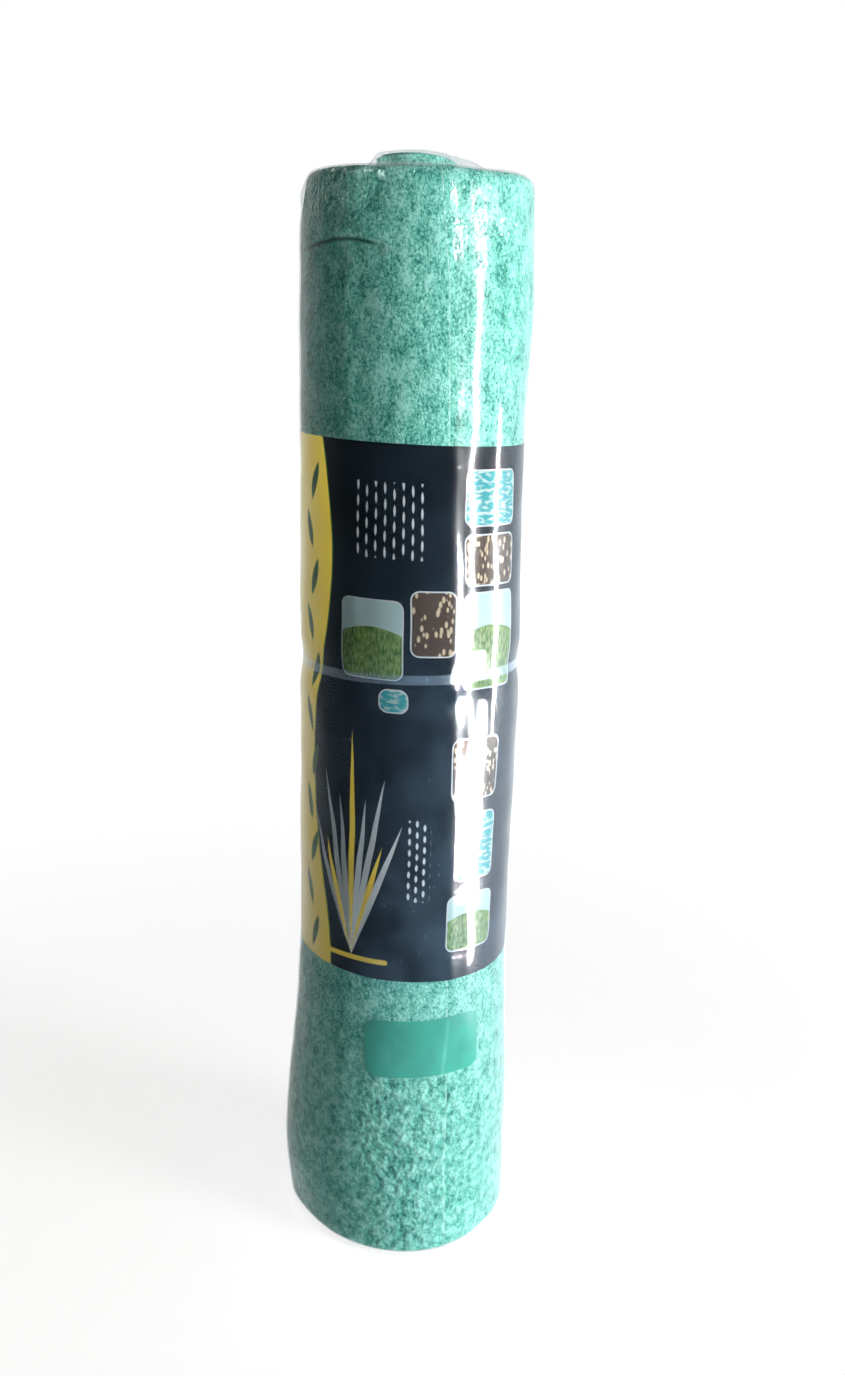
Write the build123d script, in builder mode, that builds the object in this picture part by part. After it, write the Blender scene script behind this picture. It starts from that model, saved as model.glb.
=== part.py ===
# A rolled grass seed mat standing on its end, in millimetres.
# The roll's axis is Z, the floor is z = 0, and the front of the roll faces -Y.
# Bearings are degrees round the roll from the front, positive towards +X.
from build123d import *
from dataclasses import dataclass
from math import cos, pi, radians, sin
import os

# The mat: a felt strip wound on itself
mat_width = 610.0
mat_length = 15240.0
roll_radius = 62.0
bore_radius = 11.0
rim_rounding = 7.0
rim_flats = 3
tail_bearing = 20.0

# The inner turns, which have crept up out of the roll
coil_radius = 18.7
coil_lift = 11.0
coil_bevel = 1.5

# The foot, where the turns are looser
foot_flare = 2.8
foot_level = 112.0
foot_taper = 80.0

# The waist that the band pulls in
waist_depth = 1.4
waist_spread = 15.0

# The turns that show on the two ends, each groove standing for several turns
groove_count = 5
groove_width = 1.4
groove_depth = 2.0
coil_groove_count = 2

# The paper label round the roll
label_height = 300.0
label_level = 175.0
label_tilt = 2.0
paper_thickness = 0.35

# The clear band round the label
band_width = 5.2
band_level = 350.0
band_thickness = 0.3

# The patch of tape that holds the mat's free end down
tape_width = 70.0
tape_height = 35.0
tape_level = 114.0
tape_bearing = 12.5
tape_rounding = 4.5
tape_thickness = 0.3

# The clear shrink film over everything
film_thickness = 0.4
film_top_opening = 14.5
film_base_opening = 40.0

# The gap left between one layer and the next
clearance = 0.1

# What follows from the sizes above
turn_thickness = pi * (roll_radius**2 - bore_radius**2) / mat_length
mat_base = film_thickness + clearance
mat_top = mat_base + mat_width
coil_base = coil_lift
coil_top = coil_base + mat_width
label_inside = clearance
label_outside = label_inside + paper_thickness
band_inside = label_outside + clearance
band_outside = band_inside + band_thickness
tape_inside = clearance
tape_outside = tape_inside + tape_thickness
film_inside = max(label_outside, tape_outside) + clearance
film_outside = film_inside + film_thickness
film_step = max(film_inside, band_outside + clearance)
film_waist = waist_depth - (film_step - film_inside)
reach = 2 * (roll_radius + foot_flare + film_outside)

# The upright plane through the axis and the free end of the mat
tail_angle = radians(tail_bearing - 90)
tail_direction = Vector(cos(tail_angle), sin(tail_angle), 0)
tail_plane = Plane(origin=(0, 0, 0), x_dir=tail_direction, z_dir=tail_direction.cross(Vector(0, 0, 1)))
outer_turn_axis = Axis(tail_direction * (turn_thickness / 2), (0, 0, -1))


@dataclass(frozen=True)
class Surface:
    """A closed surface round the roll: how far it stands off the mat and the step, its ends and waist."""

    grow: float
    step: float
    base: float
    rim: float
    peak: float
    waist: float


mat_surface = Surface(0.0, 0.0, mat_base, mat_top, mat_top, waist_depth)
film_inner_surface = Surface(
    film_inside,
    film_step,
    film_thickness,
    mat_top + clearance,
    coil_top + clearance,
    film_waist,
)
film_outer_surface = Surface(
    film_outside,
    film_step + film_thickness,
    0.0,
    mat_top + clearance + film_thickness,
    coil_top + clearance + film_thickness,
    film_waist,
)


def layer_surface(grow):
    """A surface that follows the mat's side at a distance, for a layer that has no ends."""
    return Surface(grow, grow, 0.0, mat_top + grow, mat_top + grow, waist_depth)


def rim(edge, level, rounding, upwards):
    """Half of a rounded rim in section, as flats from its end face at a level out to its edge."""
    turns = [radians(90 * number / rim_flats) for number in range(rim_flats + 1)]
    return [
        (edge - rounding * (1 - sin(turn)), level + upwards * rounding * (1 - cos(turn)))
        for turn in turns
    ]


def half_section(surface, start, side):
    """Half of the roll's upright section, from start out to its side, as the surface bounds it."""
    rounding = rim_rounding + surface.grow
    foot = side + foot_flare
    peak_edge = coil_radius + film_inside
    waist = side - surface.waist
    with BuildSketch(tail_plane) as section:
        with BuildLine():
            Line((start, surface.base), (foot - rounding, surface.base))
            Polyline(*rim(foot, surface.base, rounding, 1))
            Line((foot, surface.base + rounding), (foot, foot_level))
            Line((foot, foot_level), (side, foot_level + foot_taper))
            Line((side, foot_level + foot_taper), (side, band_level - waist_spread))
            Line((side, band_level - waist_spread), (waist, band_level - band_width / 2))
            Line((waist, band_level - band_width / 2), (waist, band_level + band_width / 2))
            Line((waist, band_level + band_width / 2), (side, band_level + waist_spread))
            Line((side, band_level + waist_spread), (side, surface.rim - rounding))
            Polyline(*rim(side, surface.rim, rounding, -1))
            if surface.peak > surface.rim:
                Line((side - rounding, surface.rim), (peak_edge, surface.peak))
                Line((peak_edge, surface.peak), (start, surface.peak))
            else:
                Line((side - rounding, surface.rim), (start, surface.rim))
            Line((start, max(surface.rim, surface.peak)), (start, surface.base))
        make_face()
    return section.sketch


def roll_body(surface):
    """The roll inside a surface: the last turn is a crescent that ends in a step at the tail plane."""
    side = roll_radius + surface.grow
    with BuildPart() as body:
        revolve(half_section(surface, 0, side - turn_thickness), axis=Axis.Z, revolution_arc=180)
        revolve(half_section(surface, turn_thickness / 2, side), axis=outer_turn_axis, revolution_arc=180)
        if surface.step > 0:
            extrude(half_section(surface, 0, side), amount=-surface.step)
    return body.part


def layer(inside, outside):
    """A layer of the given inner and outer offsets, all the way up the roll's side."""
    with BuildPart() as shell:
        add(roll_body(layer_surface(outside)))
        add(roll_body(layer_surface(inside)), mode=Mode.SUBTRACT)
    return shell.part


def end_grooves(level, depth, first, last, count):
    """Ring grooves of V section in an end face, evenly spaced between two radii."""
    step = (last - first) / (count + 1)
    with BuildSketch(tail_plane) as grooves:
        for number in range(count):
            middle = first + (number + 1) * step
            with BuildLine():
                Polyline(
                    (middle - groove_width / 2, level),
                    (middle + groove_width / 2, level),
                    (middle, level + depth),
                    close=True,
                )
            make_face()
    return grooves.sketch


# The wound mat
with BuildPart() as seed_mat:
    add(roll_body(mat_surface))
    # The turns inside the film's opening reach down to the floor
    with BuildSketch(Plane.XY) as standing_ring:
        Circle(film_base_opening - clearance)
    extrude(amount=mat_base)
    # The inner turns have left a recess below and stand proud above
    with BuildSketch(Plane.XY) as coil_recess:
        Circle(coil_radius)
    extrude(amount=coil_base, mode=Mode.SUBTRACT)
    with BuildSketch(Plane.XY.offset(mat_top)) as raised_coil:
        Circle(coil_radius)
    extrude(amount=coil_top - mat_top)
    coil_edge = seed_mat.faces().sort_by(Axis.Z)[-1].outer_wire().edges()
    chamfer(coil_edge, coil_bevel)
    with BuildSketch(Plane.XY.offset(coil_base)) as bore:
        Circle(bore_radius)
    extrude(amount=mat_width, mode=Mode.SUBTRACT)
    # The edges of the turns on both ends
    face_edge = roll_radius - rim_rounding
    for grooves in (
        end_grooves(mat_top, -groove_depth, coil_radius, face_edge, groove_count),
        end_grooves(0, groove_depth, coil_radius, face_edge, groove_count),
        end_grooves(coil_top, -groove_depth, bore_radius, coil_radius - coil_bevel, coil_groove_count),
    ):
        revolve(grooves, axis=Axis.Z, mode=Mode.SUBTRACT)
seed_mat.part.label = "seed_mat"

# The tape over the mat's free end: a rounded patch of a thin layer
tape_angle = radians(tape_bearing - 90)
tape_direction = Vector(cos(tape_angle), sin(tape_angle), 0)
tape_centre = Vector(0, 0, tape_level + tape_height / 2)
tape_plane = Plane(origin=tape_centre, x_dir=tape_direction.cross(Vector(0, 0, -1)), z_dir=tape_direction)
with BuildPart() as closing_tape:
    add(layer(tape_inside, tape_outside))
    with BuildSketch(tape_plane) as patch:
        half_angle = tape_width / (2 * (roll_radius + foot_flare))
        RectangleRounded(2 * (roll_radius + foot_flare) * sin(half_angle), tape_height, tape_rounding)
    extrude(amount=reach, mode=Mode.INTERSECT)
closing_tape.part.label = "closing_tape"

# The label: a paper ring, a little askew on the roll
label_plane = Plane(origin=(0, 0, label_level)).rotated((0, label_tilt, 0))
with BuildPart() as label_wrap:
    add(layer(label_inside, label_outside))
    with BuildSketch(label_plane) as label_slab:
        Rectangle(reach, reach)
    extrude(amount=label_height, mode=Mode.INTERSECT)
label_wrap.part.label = "label_wrap"

# The narrow clear band round the label
with BuildPart() as clear_band:
    add(layer(band_inside, band_outside))
    with BuildSketch(Plane.XY.offset(band_level - band_width / 2)) as band_slab:
        Rectangle(reach, reach)
    extrude(amount=band_width, mode=Mode.INTERSECT)
clear_band.part.label = "clear_band"

# The shrink film: over the sides and rims, open in the middle of both ends
with BuildPart() as film_wrap:
    add(roll_body(film_outer_surface))
    add(roll_body(film_inner_surface), mode=Mode.SUBTRACT)
    with BuildSketch(Plane.XY) as base_opening:
        Circle(film_base_opening)
    extrude(amount=film_thickness, mode=Mode.SUBTRACT)
    with BuildSketch(Plane.XY.offset(coil_top)) as top_opening:
        Circle(film_top_opening)
    extrude(amount=clearance + film_thickness, mode=Mode.SUBTRACT)
film_wrap.part.label = "film_wrap"

os.makedirs("parts", exist_ok=True)
export_step(seed_mat.part, "parts/seed_mat.step")
export_step(closing_tape.part, "parts/closing_tape.step")
export_step(label_wrap.part, "parts/label_wrap.step")
export_step(clear_band.part, "parts/clear_band.step")
export_step(film_wrap.part, "parts/film_wrap.step")
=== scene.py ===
"""The looks of a rolled grass seed mat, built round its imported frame.

Every length is in metres. The roll stands on z = 0 with its axis on Z and its front towards -Y.
A bearing is in degrees round the roll from the front, positive towards +X.
"""

import logging
import math
import random
from dataclasses import dataclass, field
from enum import Enum
from typing import Callable, Optional, Sequence, Union

import bmesh
import bpy
from mathutils import Matrix, Quaternion, Vector


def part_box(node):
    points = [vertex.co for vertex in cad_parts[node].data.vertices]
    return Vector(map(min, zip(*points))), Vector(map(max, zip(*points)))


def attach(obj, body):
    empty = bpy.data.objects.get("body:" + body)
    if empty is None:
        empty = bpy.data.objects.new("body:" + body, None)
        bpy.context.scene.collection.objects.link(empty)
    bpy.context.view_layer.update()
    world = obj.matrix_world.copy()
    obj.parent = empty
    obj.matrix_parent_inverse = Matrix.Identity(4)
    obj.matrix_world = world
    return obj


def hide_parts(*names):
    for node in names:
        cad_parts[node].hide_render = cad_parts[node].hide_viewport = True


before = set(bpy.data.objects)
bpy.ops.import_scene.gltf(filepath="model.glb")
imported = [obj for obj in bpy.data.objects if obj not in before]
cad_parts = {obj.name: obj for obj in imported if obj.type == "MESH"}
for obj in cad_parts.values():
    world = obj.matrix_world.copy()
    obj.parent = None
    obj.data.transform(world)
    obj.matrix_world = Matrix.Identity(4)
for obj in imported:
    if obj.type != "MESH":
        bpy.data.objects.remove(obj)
log = logging.getLogger("seed_mat_roll")

Point = tuple[float, float]
Span = tuple[float, float]
Triple = tuple[float, float, float]
Colour = tuple[float, float, float]
MM = 0.001
SAME_PLACE = 0.02 * MM


# Places round the roll


def radial(bearing: float) -> Vector:
    """The level direction from the axis out to a bearing."""
    angle = math.radians(bearing)
    return Vector((math.sin(angle), -math.cos(angle), 0.0))


def smooth_step(share: float) -> float:
    """An S-curve from 0 to 1 as share goes from 0 to 1."""
    share = min(max(share, 0.0), 1.0)
    return share * share * (3 - 2 * share)


def spaced(start: float, end: float, spacing: float) -> list[float]:
    """Even stops from start up to but not including end.

    Args:
        start: The first stop.
        end: Where the stops end, above or below start.
        spacing: The widest gap between two stops.
    Returns:
        The stops, in order.
    """
    count = max(1, math.ceil(abs(end - start) / spacing))
    return [start + (end - start) * number / count for number in range(count)]


# Working on meshes by hand


def select_nothing() -> None:
    """Leave edit mode and deselect every object, so that what is added next is alone."""
    if bpy.context.object and bpy.context.object.mode != "OBJECT":
        bpy.ops.object.mode_set(mode="OBJECT")
    bpy.ops.object.select_all(action="DESELECT")


def pick_mesh(everything: bool) -> None:
    """Select everything in the mesh being edited, or nothing."""
    bpy.ops.mesh.select_all(action="SELECT" if everything else "DESELECT")


def make_active(piece: bpy.types.Object) -> None:
    """Select a piece alone, and make it the active one.

    Args:
        piece: The mesh object.
    """
    select_nothing()
    piece.select_set(True)
    bpy.context.view_layer.objects.active = piece


def start_edit(piece: bpy.types.Object) -> bmesh.types.BMesh:
    """Open a piece's mesh for editing, with nothing in it selected.

    Args:
        piece: The mesh object to edit.
    Returns:
        The edit mesh.
    """
    make_active(piece)
    bpy.ops.object.mode_set(mode="EDIT")
    bpy.ops.mesh.select_mode(type="VERT")
    pick_mesh(False)
    return bmesh.from_edit_mesh(piece.data)


def end_edit() -> None:
    """Leave edit mode."""
    bpy.ops.object.mode_set(mode="OBJECT")


def press_onto_floor(piece: bpy.types.Object) -> None:
    """Flatten whatever part of a piece lies below z = 0 onto that level.

    Args:
        piece: The mesh object.
    """
    mesh = start_edit(piece)
    for vertex in mesh.verts:
        if vertex.co.z < 0:
            vertex.select = True
    bpy.ops.transform.resize(value=(1, 1, 0), center_override=(0, 0, 0))
    end_edit()


def turn_outwards(piece: bpy.types.Object) -> None:
    """Turn all faces of a piece outwards.

    Args:
        piece: The mesh object.
    """
    start_edit(piece)
    pick_mesh(True)
    bpy.ops.mesh.normals_make_consistent(inside=False)
    end_edit()


def use_modifier(piece: bpy.types.Object, kind: str, **settings: object) -> None:
    """Add a modifier to a piece, set it and apply it.

    Args:
        piece: The mesh object.
        kind: The modifier's type.
        **settings: The modifier's properties.
    """
    make_active(piece)
    modifier = piece.modifiers.new(kind.lower(), kind)
    for name, value in settings.items():
        setattr(modifier, name, value)
    bpy.ops.object.modifier_apply(modifier=modifier.name)


def nudge(piece: bpy.types.Object, place: Vector, move: Vector, reach: float) -> None:
    """Push a piece softly round a place.

    Args:
        piece: The mesh object.
        place: Where the push is strongest.
        move: How far and which way it moves there.
        reach: How far from the place the push dies away.
    """
    ends = []
    for spot in (place, place + move):
        select_nothing()
        bpy.ops.object.empty_add(location=spot)
        ends.append(bpy.context.object)
    use_modifier(
        piece,
        "WARP",
        object_from=ends[0],
        object_to=ends[1],
        falloff_radius=reach,
        falloff_type="SMOOTH",
        use_volume_preserve=False,
    )
    for end in ends:
        bpy.data.objects.remove(end)


def close_seams(piece: bpy.types.Object) -> None:
    """Merge the doubled vertices of a piece and turn all its faces outwards.

    Args:
        piece: The mesh object.
    """
    start_edit(piece)
    pick_mesh(True)
    bpy.ops.mesh.remove_doubles(threshold=SAME_PLACE)
    end_edit()
    turn_outwards(piece)


def shade_smooth(piece: bpy.types.Object, angle: float) -> None:
    """Shade a piece smooth, with edges sharper than the angle left sharp."""
    make_active(piece)
    bpy.ops.object.shade_smooth_by_angle(angle=math.radians(angle))


def cloud_texture(name: str, size: float) -> bpy.types.Texture:
    """A soft noise to push surfaces about with.

    Args:
        name: The texture's name.
        size: The size of its lumps.
    Returns:
        The texture.
    """
    texture = bpy.data.textures.new(name, "CLOUDS")
    texture.noise_scale = size
    texture.noise_depth = 1
    texture.noise_basis = "IMPROVED_PERLIN"
    texture.cloud_type = "COLOR"
    return texture


def draw_profile(name: str, points: Sequence[Point], bearing: float) -> bpy.types.Object:
    """Draw an upright line of edges through radius and height pairs at a bearing.

    Args:
        name: The new object's name.
        points: Radius and height of each point, in order.
        bearing: Where round the roll the line stands.
    Returns:
        The object, a chain of vertices.
    """
    out = radial(bearing)
    select_nothing()
    bpy.ops.mesh.primitive_plane_add(size=MM, location=(0, 0, 0))
    piece = bpy.context.object
    piece.name = name
    start_edit(piece)
    pick_mesh(True)
    bpy.ops.mesh.merge(type="CENTER")
    place = Vector((0, 0, 0))
    for number, (radius, height) in enumerate(points):
        goal = out * radius + Vector((0, 0, height))
        if number == 0:
            bpy.ops.transform.translate(value=goal - place)
        else:
            bpy.ops.mesh.extrude_vertices_move(TRANSFORM_OT_translate={"value": goal - place})
        place = goal
    end_edit()
    return piece


def lathe(
    name: str,
    points: Sequence[Point],
    steps: int,
    start: float,
    push: Callable[[float], float],
    sweep: float = 360.0,
) -> bpy.types.Object:
    """Spin a profile round the axis, leftwards from the start, and push each column in or out.

    Args:
        name: The new object's name.
        points: Radius and height of each point of the profile.
        steps: How many columns of faces go round.
        start: The bearing of the first column.
        push: How far out a column moves, for its bearing short of the start, in degrees.
        sweep: How far round the profile goes, in degrees.
    Returns:
        The turned object, whose first and last columns are not yet joined. Its vertices carry
        how far round they are, in degrees, as the attribute "swept".
    """
    piece = draw_profile(name, points, start)
    mesh = start_edit(piece)
    pick_mesh(True)
    bpy.ops.mesh.spin(
        steps=steps,
        angle=math.radians(sweep),
        use_auto_merge=False,
        center=(0, 0, 0),
        axis=(0, 0, 1),
    )
    mesh.verts.ensure_lookup_table()
    swept_layer = mesh.verts.layers.float.new("swept")
    for step in range(steps + 1):
        swept = sweep * step / steps
        pick_mesh(False)
        for vertex in mesh.verts[step * len(points):(step + 1) * len(points)]:
            vertex.select = True
            vertex[swept_layer] = swept
        bpy.ops.transform.translate(value=radial(start - swept) * push(swept))
    end_edit()
    return piece


# The form that all layers share


@dataclass(frozen=True)
class Dent:
    """A soft bulge or dent in the roll's side: where it is, how far it stands out and its reach."""

    bearing: float
    height: float
    out: float
    reach: float


@dataclass(frozen=True)
class Twist:
    """A stretch of the roll's height, as shares of it, over which the turns slant by an angle."""

    low: float
    high: float
    angle: float

    @property
    def below(self) -> float:
        """How far the stretch below is turned with it, since turning is measured from the floor."""
        return self.angle * self.low / (self.high - self.low)

    def at(self, share: float) -> float:
        """How far the turns have slanted at a share of the height."""
        return self.angle * min(max((share - self.low) / (self.high - self.low), 0.0), 1.0)


@dataclass(frozen=True)
class RollForm:
    """The turned form that every layer of the roll follows, with its sizes from the frame.

    A layer is the form grown by a gap. Its side has a foot that flares and a waist at the band.
    """

    top: float
    coil_top: float
    radius: float
    foot_radius: float
    band_level: float
    coil_radius: float = 21.5 * MM
    bore: float = 11.0 * MM
    rim: float = 6.0 * MM
    foot_level: float = 112 * MM
    foot_taper: float = 80 * MM
    waist_depth: float = 1.4 * MM
    waist_spread: float = 15 * MM
    turn: float = 0.77 * MM
    tail_bearing: float = 24.2
    twists: tuple[Twist, ...] = (Twist(0.27, 0.90, 7.7), Twist(0.90, 0.976, 4.6))
    step_ramp: float = 8.0
    steps: int = 176
    middle_zone: Span = (200 * MM, 400 * MM)
    lump_size: float = 34 * MM
    lump_height: float = 1.8 * MM
    coil_dip_place: float = 16 * MM
    coil_dip: Point = (-1.0 * MM, -2.2 * MM)
    coil_dip_reach: float = 30 * MM
    dents: tuple[Dent, ...] = (
        Dent(-88, 50 * MM, 6.5 * MM, 95 * MM),
        Dent(15, 10 * MM, 4.2 * MM, 60 * MM),
        Dent(85, 135 * MM, -1.6 * MM, 80 * MM),
        Dent(80, 330 * MM, 1.8 * MM, 120 * MM),
        Dent(-60, 4 * MM, -3.0 * MM, 40 * MM),
        Dent(85, 548 * MM, 2.6 * MM, 75 * MM),
        Dent(-92, 612 * MM, -6.5 * MM, 30 * MM),
        Dent(-100, 535 * MM, 0.8 * MM, 60 * MM),
        Dent(-38, 566 * MM, -1.2 * MM, 14 * MM),
        Dent(-30, 582 * MM, 1.2 * MM, 18 * MM),
    )

    @classmethod
    def from_frame(cls) -> "RollForm":
        """Read the form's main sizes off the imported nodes.

        Returns:
            The form.
        """
        mat_low, mat_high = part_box("seed_mat")
        band_low, band_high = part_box("clear_band")
        foot_flare = 2.8 * MM
        coil_lift = 10.5 * MM
        film_slack = 0.10 * MM
        foot_radius = -mat_low.y + film_slack
        return cls(
            top=mat_high.z - coil_lift,
            coil_top=mat_high.z,
            radius=foot_radius - foot_flare,
            foot_radius=foot_radius,
            band_level=(band_low.z + band_high.z) / 2,
        )

    def side(self, height: float) -> float:
        """The radius of the roll's side, its rims left out.

        Args:
            height: The height above the floor.
        Returns:
            The radius there.
        """
        flare = 1 - smooth_step((height - self.foot_level) / self.foot_taper)
        waist = smooth_step(1 - abs(height - self.band_level) / self.waist_spread)
        return self.radius + (self.foot_radius - self.radius) * flare - self.waist_depth * waist

    def rim_arc(self, gap: float, high: bool, spacing: float) -> list[Point]:
        """The rounded rim of a layer at one end, from the end face round to the side.

        Args:
            gap: How far the layer stands off the mat.
            high: Whether this is the top rim.
            spacing: The widest gap between two points.
        Returns:
            The points, both ends of the arc included.
        """
        rounding = self.rim + gap
        side = (self.radius if high else self.foot_radius) + gap
        end = self.top + gap if high else 0.0
        sign = -1 if high else 1
        count = max(3, math.ceil(rounding * math.pi / 2 / spacing))
        turns = [math.pi / 2 * number / count for number in range(count + 1)]
        return [
            (side - rounding * (1 - math.sin(turn)), end + sign * rounding * (1 - math.cos(turn)))
            for turn in turns
        ]

    def side_line(self, gap: float, stops: Sequence[float]) -> list[Point]:
        """A layer's side, at the given heights."""
        return [(self.side(height) + gap, height) for height in stops]

    def stops(self, fine: float, coarse: float, covered: Span) -> list[float]:
        """Heights down the side, close together except where the label covers it.

        Args:
            fine: The spacing of the bare stretches.
            coarse: The spacing behind the label.
            covered: The lower and upper height of the covered stretch.
        Returns:
            The heights, from the top rim down to the base rim, both left out.
        """
        low, high = covered
        top = self.top - self.rim
        stops = spaced(top, high, fine) + spaced(high, low, coarse) + spaced(low, self.rim, fine)
        return stops[1:]

    def even_stops(self, spacing: float) -> list[float]:
        """Heights down the side, as close together behind the label as elsewhere."""
        return self.stops(spacing, spacing, self.middle_zone)

    @property
    def wound_bearing(self) -> float:
        """The free end's bearing before the roll is twisted, which turns its base as well."""
        return self.tail_bearing + sum(twist.below for twist in self.twists)

    def skin_push(self, swept: float) -> float:
        """How far in a skin over the roll lies, a bearing short of the mat's free end."""
        ramp = smooth_step((swept - (360 - self.step_ramp)) / self.step_ramp)
        return -self.turn * swept / 360 * (1 - ramp)

    def tail_at(self, height: float) -> float:
        """The bearing of the mat's free end at a height."""
        return self.tail_bearing - sum(twist.at(height / self.coil_top) for twist in self.twists)

    def dent(self, piece: bpy.types.Object, dent: Dent) -> None:
        """Push a soft bulge or dent into the side of a piece.

        Args:
            piece: The mesh object.
            dent: Where it is, and its size.
        """
        out = radial(dent.bearing)
        nudge(piece, out * self.radius + Vector((0, 0, dent.height)), out * dent.out, dent.reach)

    def settle(self, piece: bpy.types.Object) -> None:
        """Give a full-height layer the slant and the lean that the real roll has.

        The turns slant a little, so the free end isn't upright, and the loose foot leans.

        Args:
            piece: The mesh object.
        """
        for twist in self.twists:
            use_modifier(
                piece,
                "SIMPLE_DEFORM",
                deform_method="TWIST",
                deform_axis="Z",
                angle=-math.radians(twist.angle),
                limits=(twist.low, twist.high),
            )
        for dent in self.dents:
            self.dent(piece, dent)
        coil_edge = Vector((self.coil_dip_place, 0, self.coil_top))
        inward, downward = self.coil_dip
        nudge(piece, coil_edge, Vector((inward, 0, downward)), self.coil_dip_reach)
        use_modifier(
            piece,
            "DISPLACE",
            texture=cloud_texture("roll_lumps", self.lump_size),
            texture_coords="LOCAL",
            direction="RGB_TO_XYZ",
            strength=self.lump_height,
            mid_level=0.5,
        )
        press_onto_floor(piece)

    def skin(self, name: str, profile: Sequence[Point]) -> bpy.types.Object:
        """A skin that goes all round the roll, settled.

        Args:
            name: The new object's name.
            profile: Radius and height of each point of its section.
        Returns:
            The skin, open at the ends of its profile.
        """
        piece = lathe(name, profile, self.steps, self.wound_bearing, self.skin_push)
        close_seams(piece)
        self.settle(piece)
        return piece


def cut_level(piece: bpy.types.Object, level: float, slope: Point, keep_above: bool) -> None:
    """Cut a piece with a plane and delete one side.

    Args:
        piece: The mesh object.
        level: The height of the plane on the axis.
        slope: How far the plane falls towards +X and towards -Y, in degrees.
        keep_above: Whether what lies above the plane stays.
    """
    start_edit(piece)
    pick_mesh(True)
    right, front = (math.radians(angle) for angle in slope)
    bpy.ops.mesh.bisect(
        plane_co=(0, 0, level),
        plane_no=(math.sin(right), -math.sin(front), math.cos(right) * math.cos(front)),
        clear_inner=keep_above,
        clear_outer=not keep_above,
    )
    end_edit()


# Materials


class Value:
    """A number in a material, which Python's operators work on."""

    def __init__(self, graph: "Graph", socket: bpy.types.NodeSocket) -> None:
        """Wrap an output socket of a graph."""
        self.graph = graph
        self.socket = socket

    def __add__(self, other: "Number") -> "Value":
        """Add."""
        return self.graph.maths("ADD", self, other)

    def __radd__(self, other: "Number") -> "Value":
        """Add, the other way round."""
        return self.graph.maths("ADD", other, self)

    def __sub__(self, other: "Number") -> "Value":
        """Take away."""
        return self.graph.maths("SUBTRACT", self, other)

    def __rsub__(self, other: "Number") -> "Value":
        """Take away, the other way round."""
        return self.graph.maths("SUBTRACT", other, self)

    def __mul__(self, other: "Number") -> "Value":
        """Multiply."""
        return self.graph.maths("MULTIPLY", self, other)

    def __rmul__(self, other: "Number") -> "Value":
        """Multiply, the other way round."""
        return self.graph.maths("MULTIPLY", other, self)

    def __truediv__(self, other: "Number") -> "Value":
        """Divide."""
        return self.graph.maths("DIVIDE", self, other)

    def __pow__(self, other: "Number") -> "Value":
        """Raise to a power."""
        return self.graph.maths("POWER", self, other)

    def __neg__(self) -> "Value":
        """Change the sign."""
        return self.graph.maths("MULTIPLY", self, -1.0)

    def __abs__(self) -> "Value":
        """Drop the sign."""
        return self.graph.maths("ABSOLUTE", self)

    def at_least(self, other: "Number") -> "Value":
        """The larger of the two."""
        return self.graph.maths("MAXIMUM", self, other)

    def at_most(self, other: "Number") -> "Value":
        """The smaller of the two."""
        return self.graph.maths("MINIMUM", self, other)

    def between(self, low: float, high: float) -> "Value":
        """A smooth rise from 0 to 1.

        Args:
            low: Where it starts.
            high: Where it ends, above or below low.
        Returns:
            A number from 0 to 1.
        """
        return self.graph.node(
            "ShaderNodeMapRange",
            {"interpolation_type": "SMOOTHSTEP"},
            {"Value": self, "From Min": low, "From Max": high},
        ).out("Result")


Number = Union[Value, float]


@dataclass(frozen=True)
class Grain:
    """A soft noise: its lump size, the finer noises added, how much they count, and its twist."""

    size: float
    detail: float = 2.0
    roughness: float = 0.5
    warp: float = 0.0


class Made:
    """A node just made, whose outputs can be read."""

    def __init__(self, graph: "Graph", node: bpy.types.Node) -> None:
        """Wrap a node of a graph."""
        self.graph = graph
        self.node = node

    def out(self, name: Union[str, int] = 0) -> Value:
        """One of the node's outputs."""
        return Value(self.graph, self.node.outputs[name])


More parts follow.
